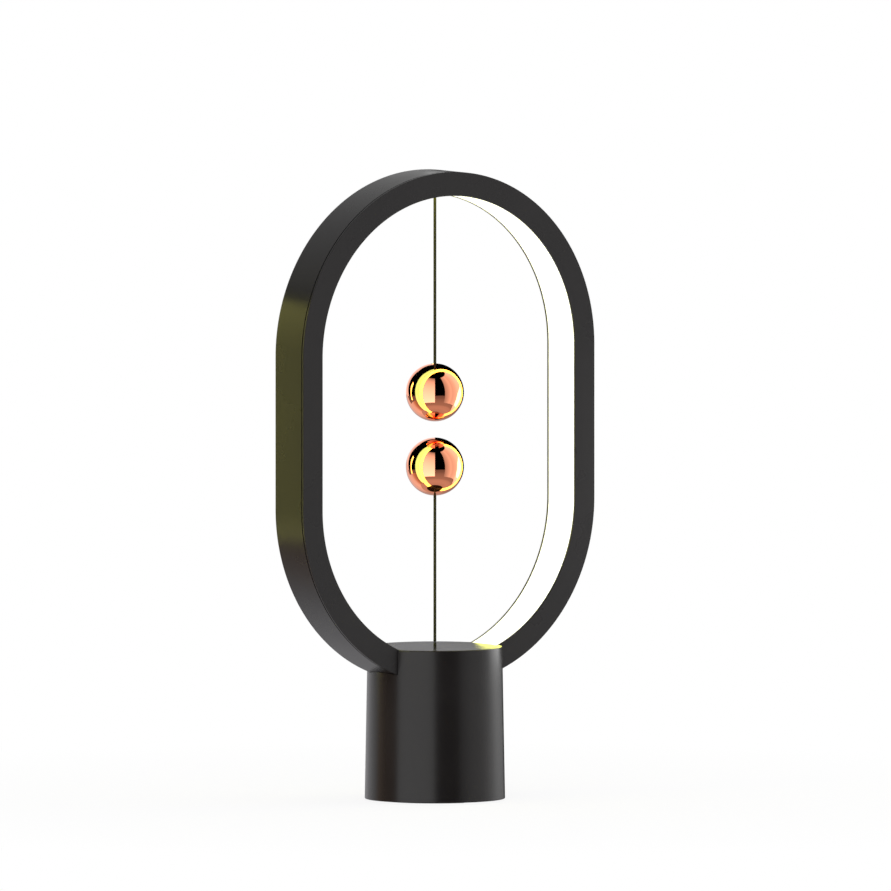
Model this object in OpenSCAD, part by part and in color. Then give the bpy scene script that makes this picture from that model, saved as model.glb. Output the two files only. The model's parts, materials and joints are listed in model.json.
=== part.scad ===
// Magnetic balance lamp: an oval light ring stands in a round base. One magnet ball hangs on a cord from
// the top of the ring, the other stands on a cord from the base, drawn up by the first one. The lower cord
// then holds up a pull switch in the base, which lights the ring.
// Millimetres, +Z up, front at -Y. The origin is on the table under the middle of the base.
// Cutters reach 1 or 2 mm past the faces that they cut.

/* [Ring] */
// Outside width of the ring
ring_w = 135; // [129:1:141]
// Length of the ring's straight sides
ring_straight = 57.6; // [54:0.6:62.4]
// Width of the ring's front face
ring_band = 9; // [9:0.1:10]
// Depth of the ring, front to back
ring_d = 18; // [17:0.5:19]
// How far the ring's lowest point lies below the top of the base
ring_sink = 13.7; // [13.2:0.1:14.4]
// Wall of the ring's channel
ring_wall = 1.6; // [1.4:0.1:1.8]
// Thickness of the two edges that show beside the diffuser
lip_t = 0.8; // [0.6:0.1:1]
// Thickness of the diffuser
diffuser_t = 1.8; // [1.6:0.1:2]
// How far the diffuser lies behind the inner edge of the ring
diffuser_recess = 0.2; // [0.1:0.1:0.4]

/* [Light strip] */
// Thickness of the aluminium carrier band
carrier_t = 0.8; // [0.6:0.1:1]
// Width of the carrier band
carrier_w = 12; // [11:0.5:13]
// Thickness of the flexible light strip
strip_t = 0.3; // [0.2:0.1:0.4]
// Width of the light strip
strip_w = 8; // [6:0.5:10]
// Length of one light package along the strip
led_l = 3.5; // [3:0.1:4]
// Width of one light package
led_w = 2.8; // [2.4:0.1:3.2]
// Height of one light package
led_h = 0.8; // [0.6:0.1:0.9]
// Light packages on each straight side
leds_straight = 5; // [4:1:6]
// Light packages on the upper arc
leds_upper = 18; // [14:2:20]
// Light packages on each lower quarter arc
leds_lower = 6; // [4:1:7]

/* [Base] */
// Height of the base, from the table to its top
base_h = 57.6; // [56:0.1:60]
// Diameter of the base at its top
base_top_d = 50.6; // [50:0.1:52]
// Diameter of the base at its lower edge
base_bottom_d = 52.7; // [52.5:0.1:55]
// Wall of the base
base_wall = 2; // [1.8:0.1:2.2]
// Thickness of the top cap
cap_t = 2.5; // [2:0.1:3]
// Thickness of the plate that carries the ring
saddle_t = 3; // [2.6:0.1:3.4]
// How far the underside of that plate lies below the ring
saddle_drop = 7.9; // [7.6:0.1:8.4]
// Wall of the cheeks that hold the ring front and back
cheek_t = 1.4; // [1.2:0.1:1.6]

/* [Foot] */
// How far the foot pad stands below the base
foot_proud = 0.4; // [0.3:0.1:0.6]
// Thickness of the foot pad
foot_t = 1.2; // [1:0.1:1.4]
// Diameter of the foot pad
foot_d = 44; // [40:1:45]
// Thickness of the bottom cover
cover_t = 2.8; // [2.6:0.1:3]

/* [Balls] */
// Diameter of each ball
ball_d = 21.8; // [21:0.1:22.4]
// Gap between the two balls
ball_gap = 6.1; // [5.5:0.1:6.5]
// Height of the middle of the gap above the table
gap_z = 139.15; // [138.65:0.1:139.65]
// Wall of the ball's shell
shell_t = 0.9; // [0.7:0.1:1]
// Diameter of the magnet
magnet_d = 10; // [8:0.5:10.5]
// Thickness of the magnet
magnet_h = 4; // [3:0.5:4.5]
// Distance from the middle of the ball to the outer face of the magnet
magnet_face = 8.2; // [7.8:0.1:8.3]
// Distance from the middle of the ball to the end of the cord
cord_seat = 7.9; // [7.5:0.1:8.1]

/* [Cords] */
// Diameter of the cord
cord_d = 1.1; // [0.9:0.1:1.3]
// Diameter of the ball on which each cord bends at its exit
bend_d = 1.2; // [1:0.1:1.3]
// Diameter of the crimp on the cord in the ball
crimp_d = 2.4; // [2:0.1:2.6]
// Length of that crimp
crimp_l = 3; // [2.5:0.1:3.2]
// Outside diameter of the eyelet in the diffuser
eyelet_d = 2.2; // [2:0.1:2.4]
// Diameter of the eyelet's flange
eyelet_flange_d = 4.8; // [4:0.1:5]
// Diameter of the knot above the eyelet
knot_d = 2.4; // [2.2:0.1:2.5]

/* [Pull switch] */
// How far the plunger travels
switch_travel = 1.5; // [1.3:0.1:1.6]
// Outside diameter of the switch
switch_d = 14; // [13.5:0.1:14.5]
// Wall of the switch body
switch_wall = 1.2; // [1:0.1:1.4]
// Thickness of the switch lid
lid_t = 1; // [0.8:0.1:1.2]
// Height of the switch body below its lid
switch_h = 13.6; // [13:0.1:14.5]
// Diameter of the plunger rod
plunger_d = 2; // [1.8:0.1:2.2]
// Diameter of the plunger's collar
collar_d = 9; // [8.5:0.1:9.5]
// Thickness of the collar
collar_t = 1.5; // [1.2:0.1:1.8]
// Height of the return spring when the lamp is lit
spring_h = 3.9; // [3.6:0.1:4.2]
// Wire of the return spring
spring_wire = 0.3; // [0.2:0.1:0.4]
// Turns of the return spring
spring_turns = 5; // [4:0.5:6]
// Thickness of the contact bridge
bridge_t = 0.5; // [0.4:0.1:0.6]
// Width of each fixed contact
contact_w = 2.4; // [2:0.1:2.6]

/* [Board and weight] */
// Diameter of the circuit board
board_d = 36; // [34:0.5:37]
// Thickness of the circuit board
board_t = 1.6; // [1:0.1:1.8]
// Gap between the weight and the circuit board
board_gap = 1.4; // [1:0.1:2]
// Thickness of the steel weight
weight_t = 5; // [4:0.5:6]
// Width of the power inlet
inlet_w = 8.9; // [8.5:0.1:9.3]
// Height of the power inlet
inlet_h = 3.2; // [3:0.1:3.4]
// Length of the power inlet
inlet_l = 7.3; // [7:0.1:8]
// Metal of the inlet's shell
inlet_t = 0.3; // [0.2:0.1:0.4]

/* [Fasteners and fits] */
// Diameter of the larger screws
screw_d = 2.4; // [2.2:0.1:2.6]
// Diameter of the smaller screws
small_screw_d = 2; // [1.8:0.1:2.2]
// Height of a screw head
head_h = 1.4; // [1.2:0.1:1.5]
// Gap between a fixed piece and its seat, on each side
slip = 0.1; // [0.05:0.05:0.15]
// Gap between a moving piece and its guide, on each side
run = 0.05; // [0.02:0.01:0.08]
// Gap between two pieces that lie against each other
film = 0.02; // [0.01:0.01:0.04]

/* [Hidden] */
$fn = 96;

// Colours
case_black = [0.19, 0.18, 0.185];
glow_white = [1, 0.99, 0.94];
copper = [0.93, 0.57, 0.45];
cord_olive = [0.2, 0.2, 0.1];
steel = [0.7, 0.7, 0.72];
nylon = [0.85, 0.85, 0.82];
brass = [0.82, 0.66, 0.32];
board_green = [0.08, 0.33, 0.18];

// Ring
r_out = ring_w / 2;
r_in = r_out - ring_band;
half_d = ring_d / 2;
ring_low_z = base_h - ring_sink;
ring_z = ring_low_z + r_out + ring_straight / 2;
arc_top_z = ring_z + ring_straight / 2;
arc_low_z = ring_z - ring_straight / 2;
diffuser_r = r_in + diffuser_recess;
seat_r = diffuser_r + diffuser_t + slip;
carrier_r = r_out - ring_wall - slip;
strip_r = carrier_r - carrier_t;
led_r = strip_r - strip_t;
// The bands of the light strip end this far either side of the middle, inside the base
strip_gap = 17;
diffuser_gap = 11;
leds_end_angle = 74;

// Base. Its wall runs straight from its lower edge to its top.
base_top_r = base_top_d / 2;
base_bottom_r = base_bottom_d / 2;
cap_z = base_h - cap_t;
cover_z = foot_proud;
function wall_r(z) = base_bottom_r + (base_top_r - base_bottom_r) * (z - cover_z) / (base_h - cover_z);
function inside_r(z_low, z_high) = min(wall_r(z_low), wall_r(z_high)) - base_wall;
cover_top_z = cover_z + cover_t;
cap_r = inside_r(cap_z, base_h) - slip;
cover_r = inside_r(cover_z, cover_top_z) - slip;
saddle_z = ring_low_z - saddle_drop;
saddle_top_z = saddle_z + saddle_t;
saddle_r = inside_r(saddle_z, base_h) - slip;
post_r = 3;
post_at = saddle_r - 2;
post_angles = [50, 130, 230, 310];
lug_r = 2.9;
lug_h = 8;
lug_at = inside_r(cover_z, cover_top_z + lug_h) - 2.75;
lug_angles = [30, 150, 270];
cap_boss_r = 2.8;
cap_boss_y = half_d + slip + cheek_t + cap_boss_r + 1.7;
ring_screw_x = 11;
ring_boss_h = 6;
ring_thread_l = 3.1;
cradle_w = 38;
cradle_h = 5;
wire_hole = [-6.4, 6.4];
wire_hole_r = 1.5;

// Screws
screw_r = screw_d / 2;
small_r = small_screw_d / 2;
thread_l = 8;
ring_screw_l = saddle_drop + ring_thread_l;
cap_screw_l = 11;
small_screw_l = 5;
bite = 0.5; // left between a screw's end and the end of its hole

// Weight and board
weight_z = cover_top_z + slip;
weight_r = inside_r(weight_z, weight_z + weight_t) - 1;
board_z = weight_z + weight_t + board_gap;
board_top_z = board_z + board_t;
board_r = board_d / 2;
standoff_r = 2.6;
standoff_at = lug_at - lug_r - standoff_r - 2.5;
tongue_w = 13;
inlet_z = board_top_z + slip + inlet_h / 2;
inlet_mouth_y = base_bottom_r - 1.2;
inlet_back_y = inlet_mouth_y - inlet_l;

// Switch
lid_z = saddle_z - lid_t;
switch_r = switch_d / 2;
switch_low_z = lid_z - switch_h;
switch_floor = 1.5;
plunger_r = plunger_d / 2;
ear_y = switch_r + 2.6;
ear_r = 2.4;
ear_t = 2;
bridge_top_z = lid_z - spring_h - slip;
collar_z = bridge_top_z - bridge_t - collar_t;
plunger_low_z = switch_low_z + switch_floor + switch_travel + slip;
plunger_top_z = cap_z - 1.5;
tail_bore_l = 6;
contact_x = 3;
contact_t = 0.8;
spring_r = plunger_r + 0.9;

// Cords
cord_r = cord_d / 2;
bend_r = bend_d / 2;
bend_gap = 0.1;
tail_gap = bend_r + bend_gap;
bushing_r = 2;
bushing_flange_r = 3;
bushing_flange_t = 1;
flange_t = 1;
bushing_hole_r = cord_r + 0.2;
upper_bend_z = arc_top_z + diffuser_r - tail_gap;
lower_bend_z = base_h + switch_travel + tail_gap;
// Where each cord runs, from its exit to its crimp in the ball
upper_route = [[0, 0, 226.3], [0, 0, 224], [0, 0, 221], [0, 0, 218], [0, 0, 215], [0, 0, 212], [0, 0, 209],
    [0, 0, 206], [0, 0, 203], [0, 0, 200], [0, 0, 197], [0, 0, 194], [0, 0, 191], [0, 0, 188], [0, 0, 185],
    [0, 0, 182], [0, 0, 179], [0, 0, 176], [0, 0, 173], [0, 0, 170], [0, 0, 167], [0, 0, 164], [0, 0, 161]];
lower_route = [[0, 0, 60.5], [0, 0, 63], [0, 0, 66], [0, 0, 69], [0, 0, 72], [0, 0, 75], [0, 0, 78],
    [0, 0, 81], [0, 0, 84], [0, 0, 87], [0, 0, 90], [0, 0, 93], [0, 0, 96], [0, 0, 99], [0, 0, 102],
    [0, 0, 105], [0, 0, 108], [0, 0, 111], [0, 0, 114], [0, 0, 117.3]];

// Balls
ball_r = ball_d / 2;
upper_ball_z = gap_z + ball_gap / 2 + ball_r;
lower_ball_z = gap_z - ball_gap / 2 - ball_r;
shell_r = ball_r - shell_t;
magnet_r = magnet_d / 2;
core_r = shell_r - 0.7;
spigot_t = 0.5;
spigot_l = 1.5;
cord_hole_r = cord_r + 0.2;
mouth_r = 1.5;
mouth_l = 0.8;

// Leads
wire_r = 0.45;
lead_pitch = 1.1;
lead_side = 2.6;
lead_rise = 4.6;
lead_bend = 0.6;
lead_straight = 6;

// Parts on the circuit board: each block is [x, y, width, length, height]
board_blocks = [[-9.5, -8, 5, 5, 3], [-3, -4.5, 5, 4, 1.4]];
capacitor_at = [7, -8.5];
capacitor_r = 2.5;
capacitor_h = 5;
resistor_step = 2.6;
resistor_size = [1.2, 2, 0.6];
resistors = 4;

// ---- Shapes that repeat ----

// The oval of the ring, drawn flat with its long axis along Y
module oval(r) {
    translate([0, ring_straight / 2]) circle(r);
    translate([0, -ring_straight / 2]) circle(r);
    square([2 * r, ring_straight], center = true);
}

// An upright oval solid from y0 to y1
module oval_block(r, y0, y1) {
    translate([0, y1, ring_z])
        rotate([90, 0, 0])
            linear_extrude(y1 - y0)
                oval(r);
}

// An upright oval band between two radii, from y0 to y1
module oval_band(r_big, r_small, y0, y1) {
    translate([0, y1, ring_z])
        rotate([90, 0, 0])
            linear_extrude(y1 - y0)
                difference() {
                    oval(r_big);
                    oval(r_small);
                }
}

// A band that is left open at the bottom, half_gap either side of the middle
module open_band(r_big, r_small, y0, y1, half_gap) {
    difference() {
        oval_band(r_big, r_small, y0, y1);
        translate([-half_gap, y0 - 1, ring_low_z - 1])
            cube([2 * half_gap, y1 - y0 + 2, ring_band + 6]);
    }
}

// An upright cylinder that starts at height z
module post(r, z, h, x = 0, y = 0) {
    translate([x, y, z]) cylinder(h = h, r = r);
}

// A screw with its head below z and its shank above
module screw(x, y, z, r, length) {
    difference() {
        union() {
            post(r, z, length, x, y);
            post(1.75 * r, z - head_h, head_h, x, y);
        }
        translate([x, y, z - head_h - 0.01])
            cylinder(h = 0.8, r = 0.9 * r, $fn = 6);
    }
}

// One piece in each place of a list of points
module at_each(places) {
    for (p = places)
        translate([p[0], p[1], 0])
            children();
}

// Points on a circle at the given angles
function around(radius, angles) = [for (a = angles) [radius * cos(a), radius * sin(a)]];

posts = around(post_at, post_angles);
lugs = around(lug_at, lug_angles);
standoffs = around(standoff_at, lug_angles);

// Round posts that reach out to the wall of the base, each with a clearance round it
module wall_posts(r, distance, angles, z, h, clearance = 0) {
    for (a = angles)
        rotate([0, 0, a]) {
            post(r + clearance, z, h, distance);
            translate([distance, -r - clearance, z]) cube([base_top_r, 2 * (r + clearance), h]);
        }
}

// A tube along a list of points, with flat ends. Each ring is turned the least from the one before it.
function unit(v) = v / norm(v);
function heading(path, i) = unit(path[min(i + 1, len(path) - 1)] - path[max(i - 1, 0)]);
function first_side(t) = unit(cross(t, abs(t.x) < 0.9 ? [1, 0, 0] : [0, 1, 0]));
function ring_sides(path, i = 0, s = undef, out = []) = i == len(path)
    ? out
    : let (t = heading(path, i), n = i == 0 ? first_side(t) : unit(s - t * (s * t)))
      ring_sides(path, i + 1, n, concat(out, [n]));

module tube(path, r, sides = 8) {
    n = len(path);
    normals = ring_sides(path);
    points = [for (i = [0:n - 1])
        let (t = heading(path, i), u = normals[i], v = cross(t, u))
        for (k = [0:sides - 1])
            path[i] + r * (cos(360 * k / sides) * u + sin(360 * k / sides) * v)];
    walls = [for (i = [0:n - 2], k = [0:sides - 1])
        let (a = i * sides + k, b = i * sides + (k + 1) % sides)
        each [[a, a + sides, b], [b, a + sides, b + sides]]];
    start = [for (k = [1:sides - 2]) [0, k, k + 1]];
    last = (n - 1) * sides;
    end = [for (k = [1:sides - 2]) [last, last + k + 1, last + k]];
    polyhedron(points = points, faces = concat(walls, start, end), convexity = 4);
}

// ---- Base ----

// The tapered form of the base, drawn in by the given depth
module base_cone(depth) {
    translate([0, 0, cover_z])
        cylinder(h = base_h - cover_z, r1 = base_bottom_r - depth, r2 = base_top_r - depth);
}

module base_housing() {
    color(case_black)
        difference() {
            union() {
                difference() {
                    base_cone(0);
                    base_cone(base_wall);
                }
                intersection() {
                    base_cone(base_wall / 2);
                    union() {
                        wall_posts(post_r, post_at, post_angles, saddle_top_z, cap_z - saddle_top_z);
                        wall_posts(lug_r, lug_at, lug_angles, cover_top_z, lug_h);
                    }
                }
            }
            oval_block(r_out + slip, -half_d - slip, half_d + slip);
            for (p = posts) post(screw_r + run, saddle_top_z - 1, thread_l + bite + 1, p.x, p.y);
            for (p = lugs) post(screw_r + run, cover_top_z - 1, lug_h, p.x, p.y);
            translate([0, base_bottom_r + 1, inlet_z])
                inlet_prism(inlet_w + 4 * slip, inlet_h + 4 * slip, base_bottom_r - inlet_back_y + 1);
        }
}

module base_top_cap() {
    boss_low_z = saddle_top_z + slip;
    color(case_black)
        difference() {
            union() {
                post(cap_r, cap_z, cap_t);
                for (side = [-1, 1])
                    post(cap_boss_r, boss_low_z, cap_z - boss_low_z + 1, 0, side * cap_boss_y);
            }
            difference() {
                oval_block(r_out + slip, -half_d - slip, half_d + slip);
                oval_block(r_in - slip, -half_d - 2, half_d + 2);
            }
            post(bushing_r + run, cap_z - 1, cap_t + 2);
            for (side = [-1, 1])
                post(screw_r + run, boss_low_z - 1, cap_screw_l - saddle_t + bite + 1, 0, side * cap_boss_y);
        }
}

module cap_screws() {
    color(steel)
        for (side = [-1, 1])
            screw(0, side * cap_boss_y, saddle_z, screw_r, cap_screw_l);
}

// A short guide in the cap for the lower cord
module cord_bushing() {
    color(case_black)
        difference() {
            union() {
                post(bushing_r, cap_z - bushing_flange_t, cap_t + bushing_flange_t);
                post(bushing_flange_r, cap_z - bushing_flange_t, bushing_flange_t - run);
            }
            post(bushing_hole_r, cap_z - bushing_flange_t - 1, cap_t + bushing_flange_t + 2);
        }
}

// The plate under the ring, with a cradle that holds it from below, front and back
module ring_saddle() {
    cheek_top_z = ring_low_z + cradle_h;
    hole_h = cheek_top_z - saddle_z + 2;
    color(nylon)
        difference() {
            intersection() {
                post(saddle_r, saddle_z, base_h);
                union() {
                    post(saddle_r, saddle_z, saddle_t);
                    translate([-cradle_w / 2, -half_d - slip - cheek_t, saddle_z])
                        cube([cradle_w, ring_d + 2 * (slip + cheek_t), cheek_top_z - saddle_z]);
                }
            }
            oval_block(r_out + slip, -half_d - slip, half_d + slip);
            post(plunger_r + 0.6, saddle_z - 1, hole_h);
            post(wire_hole_r, saddle_z - 1, hole_h, wire_hole.x, wire_hole.y);
            for (p = posts) post(screw_r + slip, saddle_z - 1, saddle_t + 2, p.x, p.y);
            for (side = [-1, 1]) {
                post(screw_r + slip, saddle_z - 1, saddle_t + 2, 0, side * cap_boss_y);
                post(screw_r + slip, saddle_z - 1, hole_h, side * ring_screw_x, 0);
                post(small_r + run, saddle_z - 1, small_screw_l - lid_t - ear_t + bite + 1, 0, side * ear_y);
            }
            wall_posts(lug_r, lug_at, lug_angles, saddle_z - 1, hole_h, 2 * slip);
        }
}

module saddle_screws() {
    color(steel)
        for (p = posts)
            screw(p.x, p.y, saddle_z, screw_r, saddle_t + thread_l);
}

module ring_screws() {
    color(steel)
        for (side = [-1, 1])
            screw(side * ring_screw_x, 0, saddle_z, screw_r, ring_screw_l);
}

// ---- Ring ----

// Outer wall and back of the ring in one piece, open to the front and to the inside
module ring_channel() {
    color(case_black)
        difference() {
            union() {
                oval_band(r_out, r_out - ring_wall, -half_d + lip_t, half_d);
                oval_band(r_out, seat_r, half_d - ring_wall, half_d);
                oval_band(r_out, r_in, half_d - lip_t, half_d);
                intersection() {
                    for (side = [-1, 1])
                        post(screw_r + 1.4, ring_low_z, ring_boss_h + 1, side * ring_screw_x, 0);
                    oval_block(r_out - ring_wall / 2, -half_d + 3, half_d - 3);
                }
            }
            post(plunger_r + 1, ring_low_z - 1, ring_wall + 2);
            post(wire_hole_r, ring_low_z - 1, ring_wall + 3, wire_hole.x, wire_hole.y);
            for (side = [-1, 1])
                post(screw_r + run, ring_low_z - 1, ring_boss_h, side * ring_screw_x, 0);
        }
}

// Front face of the ring, with a step that centres it in the channel
module ring_front_cover() {
    color(case_black)
        union() {
            oval_band(r_out, r_in, -half_d, -half_d + lip_t - film);
            oval_band(r_out - ring_wall - slip, seat_r, -half_d, -half_d + ring_wall);
        }
}

module ring_diffuser() {
    color(glow_white)
        difference() {
            open_band(diffuser_r + diffuser_t, diffuser_r, -half_d + lip_t + run, half_d - lip_t - run,
                diffuser_gap);
            post(eyelet_d / 2 + slip, arc_top_z + r_in - 1, diffuser_t + 3);
        }
}

module led_carrier() {
    color(steel)
        open_band(carrier_r, carrier_r - carrier_t, -carrier_w / 2, carrier_w / 2, strip_gap);
}

module led_strip() {
    color(nylon)
        open_band(strip_r - film, led_r, -strip_w / 2, strip_w / 2, strip_gap);
}

// One light package on the strip, at an angle on an arc whose middle is at height z
module led_on_arc(angle, z) {
    translate([0, 0, z])
        rotate([0, -angle, 0])
            translate([led_r - slip - led_h, -led_w / 2, -led_l / 2])
                cube([led_h, led_w, led_l]);
}

module led_chips() {
    step = ring_straight / leds_straight;
    color([1, 0.85, 0.35])
        union() {
            for (i = [0:leds_upper - 1])
                led_on_arc(180 * (i + 0.5) / leds_upper, arc_top_z);
            for (i = [0:leds_straight - 1], angle = [0, 180])
                led_on_arc(angle, arc_low_z + step * (i + 0.5));
            for (i = [0:leds_lower - 1], side = [-1, 1])
                led_on_arc(90 + side * (90 + leds_end_angle * (i + 0.5) / leds_lower), arc_low_z);
        }
}

// Two leads from the end of the light strip down to the circuit board
module led_leads() {
    hole = [wire_hole.x, wire_hole.y, ring_low_z];
    start = [-strip_gap + 1, wire_hole.y - lead_side, ring_low_z + lead_rise];
    over_hole = hole + [-lead_bend, 0, lead_rise / 2];
    saddle_hole = [hole.x, hole.y, saddle_z];
    end = [hole.x - 2 * lead_bend, hole.y, board_top_z + slip];
    color("firebrick")
        for (shift = [-1, 1])
            translate([0, shift * lead_pitch / 2, 0])
                tube([start, start + (over_hole - start) / 3, over_hole + (start - over_hole) / 3, over_hole,
                    hole, saddle_hole, saddle_hole - [lead_bend, 0, lead_straight],
                    end + [0, 0, lead_straight], end], wire_r, 6);
}

// ---- Upper cord ----

// Eyelet that carries the upper cord in the diffuser
module upper_cord_eyelet() {
    low_z = arc_top_z + diffuser_r;
    color(nylon)
        difference() {
            union() {
                post(eyelet_d / 2, low_z, diffuser_t + 0.5);
                post(eyelet_flange_d / 2, low_z + diffuser_t + film, flange_t);
            }
            post(cord_r + slip, low_z - 1, diffuser_t + 4);
        }
}

// The knotted end of the upper cord above its eyelet
module upper_cord_knot() {
    low_z = arc_top_z + diffuser_r;
    knot_z = low_z + diffuser_t + film + flange_t + knot_d / 2 - slip;
    color(cord_olive)
        union() {
            post(cord_r, low_z, knot_z - low_z);
            translate([0, 0, knot_z]) sphere(knot_d / 2);
        }
}

module upper_bend() {
    color(cord_olive) translate([0, 0, upper_bend_z]) sphere(bend_r);
}

module upper_cord() {
    color(cord_olive) tube(upper_route, cord_r, 8);
}

// ---- Balls, drawn round the origin with the cord side up ----

module ball_cord_half() {
    color(copper)
        difference() {
            sphere(ball_r);
            sphere(shell_r);
            translate([0, 0, -ball_r - 1]) cylinder(h = ball_r + 1, r = ball_r + 1);
            post(cord_hole_r, 0, ball_d);
            translate([0, 0, ball_r - mouth_l]) cylinder(h = mouth_l + 0.2, r1 = cord_hole_r, r2 = mouth_r);
        }
}

module ball_magnet_half() {
    color(copper)
        union() {
            difference() {
                sphere(ball_r);
                sphere(shell_r);
                translate([0, 0, -slip / 4]) cylinder(h = ball_r + 1, r = ball_r + 1);
            }
            difference() {
                intersection() {
                    sphere(shell_r - film);
                    post(ball_r, -spigot_l, 2 * spigot_l);
                }
                post(shell_r - spigot_t, -ball_r, ball_d);
            }
            // a small shoulder joins the spigot to the shell
            difference() {
                post(shell_r + 0.2, -spigot_l, 1);
                post(shell_r - spigot_t, -ball_r, ball_d);
            }
        }
}

module ball_core() {
    pocket_z = -magnet_face + magnet_h + slip;
    color(nylon)
        difference() {
            sphere(core_r);
            translate([0, 0, -ball_r]) cylinder(h = ball_r + pocket_z, r = magnet_r + slip);
            post(crimp_d / 2 + slip, pocket_z - 1, cord_seat + run - pocket_z + 1);
            post(cord_hole_r, 0, ball_d);
        }
}

module ball_magnet() {
    color(steel) post(magnet_r, -magnet_face, magnet_h);
}

module ball_crimp() {
    color(brass) post(crimp_d / 2, cord_seat - crimp_l, crimp_l);
}

module in_upper_ball() {
    translate([0, 0, upper_ball_z]) children();
}

module in_lower_ball() {
    translate([0, 0, lower_ball_z]) mirror([0, 0, 1]) children();
}

module upper_crimp() { in_upper_ball() ball_crimp(); }
module upper_ball_cord_half() { in_upper_ball() ball_cord_half(); }
module upper_ball_magnet_half() { in_upper_ball() ball_magnet_half(); }
module upper_ball_core() { in_upper_ball() ball_core(); }
module upper_magnet() { in_upper_ball() ball_magnet(); }
module lower_crimp() { in_lower_ball() ball_crimp(); }
module lower_ball_cord_half() { in_lower_ball() ball_cord_half(); }
module lower_ball_magnet_half() { in_lower_ball() ball_magnet_half(); }
module lower_ball_core() { in_lower_ball() ball_core(); }
module lower_magnet() { in_lower_ball() ball_magnet(); }

// ---- Lower cord and pull switch ----

module lower_bend() {
    color(cord_olive) translate([0, 0, lower_bend_z]) sphere(bend_r);
}

module lower_cord() {
    color(cord_olive) tube(lower_route, cord_r, 8);
}

// The end of the lower cord that runs through the bushing into the plunger
module pull_cord_tail() {
    low_z = plunger_top_z - tail_bore_l + slip;
    color(cord_olive) post(cord_r, low_z, lower_bend_z - tail_gap - low_z);
}

module pull_plunger() {
    color(nylon)
        difference() {
            union() {
                post(plunger_r, plunger_low_z, plunger_top_z - plunger_low_z);
                post(collar_d / 2, collar_z, collar_t);
            }
            post(cord_r + run, plunger_top_z - tail_bore_l, tail_bore_l + 1);
        }
}

// Brass ring on the collar that joins the two fixed contacts
module contact_bridge() {
    color(brass)
        difference() {
            post(collar_d / 2 - 0.3, bridge_top_z - bridge_t, bridge_t);
            post(plunger_r + run, bridge_top_z - bridge_t - 1, bridge_t + 2);
        }
}

// Compression spring round the rod that pushes the plunger down when the balls are parted
module return_spring() {
    steps = 12 * spring_turns;
    low_z = bridge_top_z + spring_wire / 2 + run;
    climb = spring_h - spring_wire - run;
    color(steel)
        tube([for (i = [0:steps])
            [spring_r * cos(30 * i), spring_r * sin(30 * i), low_z + climb * i / steps]],
            spring_wire / 2, 6);
}

module switch_body() {
    color(case_black)
        difference() {
            union() {
                post(switch_r, switch_low_z, switch_h - run);
                for (side = [-1, 1])
                    ear(side, lid_z - ear_t, ear_t - run);
            }
            post(switch_r - switch_wall, switch_low_z + switch_floor, switch_h);
            for (side = [-1, 1])
                post(small_r + slip, lid_z - ear_t - 1, ear_t + 2, 0, side * ear_y);
            translate([-switch_r - 1, -contact_w / 2 - slip, lid_z - contact_t - 2 * slip])
                cube([switch_d + 2, contact_w + 2 * slip, contact_t + 1]);
        }
}

module ear(side, z, h) {
    post(ear_r, z, h, 0, side * ear_y);
    translate([-ear_r, min(0, side * ear_y), z]) cube([2 * ear_r, ear_y, h]);
}

module switch_lid() {
    color(case_black)
        difference() {
            union() {
                post(switch_r, lid_z, lid_t - run);
                for (side = [-1, 1])
                    ear(side, lid_z, lid_t - run);
            }
            post(plunger_r + run, lid_z - 1, lid_t + 2);
            for (side = [-1, 1])
                post(small_r + slip, lid_z - 1, lid_t + 2, 0, side * ear_y);
        }
}

module switch_screws() {
    color(steel)
        for (side = [-1, 1])
            screw(0, side * ear_y, lid_z - ear_t, small_r, small_screw_l);
}

// Two brass blades under the lid, each with a terminal outside the body
module fixed_contacts() {
    low_z = bridge_top_z + slip;
    top_z = lid_z - slip;
    color(brass)
        for (side = [0, 180])
            rotate([0, 0, side]) {
                translate([contact_x, -contact_w / 2, top_z - contact_t])
                    cube([switch_r + 1.8 - contact_x, contact_w, contact_t]);
                translate([contact_x, -contact_w / 2, low_z])
                    cube([contact_t, contact_w, top_z - low_z]);
            }
}

// A lead from each terminal down to the circuit board
module switch_leads() {
    top = [switch_r + 1.2, 0, lid_z - slip - contact_t - run];
    end = [top.x, -4 * lead_bend, board_top_z + slip];
    color("black")
        for (side = [0, 1])
            mirror([side, 0, 0])
                tube([top, top - [0, 0, lead_straight / 2], top + [lead_bend, -lead_bend, -lead_straight],
                    end + [lead_bend, lead_bend, lead_straight], end], wire_r, 6);
}

// ---- Board, inlet, weight and foot ----

module circuit_board() {
    color(board_green)
        difference() {
            union() {
                post(board_r, board_z, board_t);
                translate([-tongue_w / 2, 0, board_z])
                    cube([tongue_w, inlet_mouth_y - 2.5, board_t]);
            }
            at_each(standoffs) post(small_r + slip, board_z - 1, board_t + 2);
        }
}

// Capacitor, coil, driver chip and resistors, each on the board
module board_parts() {
    z = board_top_z + film;
    color([0.15, 0.15, 0.16])
        union() {
            post(capacitor_r, z, capacitor_h, capacitor_at.x, capacitor_at.y);
            for (b = board_blocks)
                translate([b[0], b[1], z]) cube([b[2], b[3], b[4]]);
            for (i = [0:resistors - 1])
                translate([resistor_step * (i - resistors / 2), 4, z]) cube(resistor_size);
        }
}

module board_screws() {
    color(steel)
        at_each(standoffs)
            translate([0, 0, board_top_z])
                mirror([0, 0, 1])
                    screw(0, 0, 0, small_r, small_screw_l);
}

// A flat oval prism from y = 0 towards -Y, centred on the Y axis
module inlet_prism(w, h, length) {
    rotate([90, 0, 0])
        linear_extrude(length) {
            translate([-w / 2 + h / 2, 0]) circle(h / 2);
            translate([w / 2 - h / 2, 0]) circle(h / 2);
            square([w - h, h], center = true);
        }
}

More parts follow.
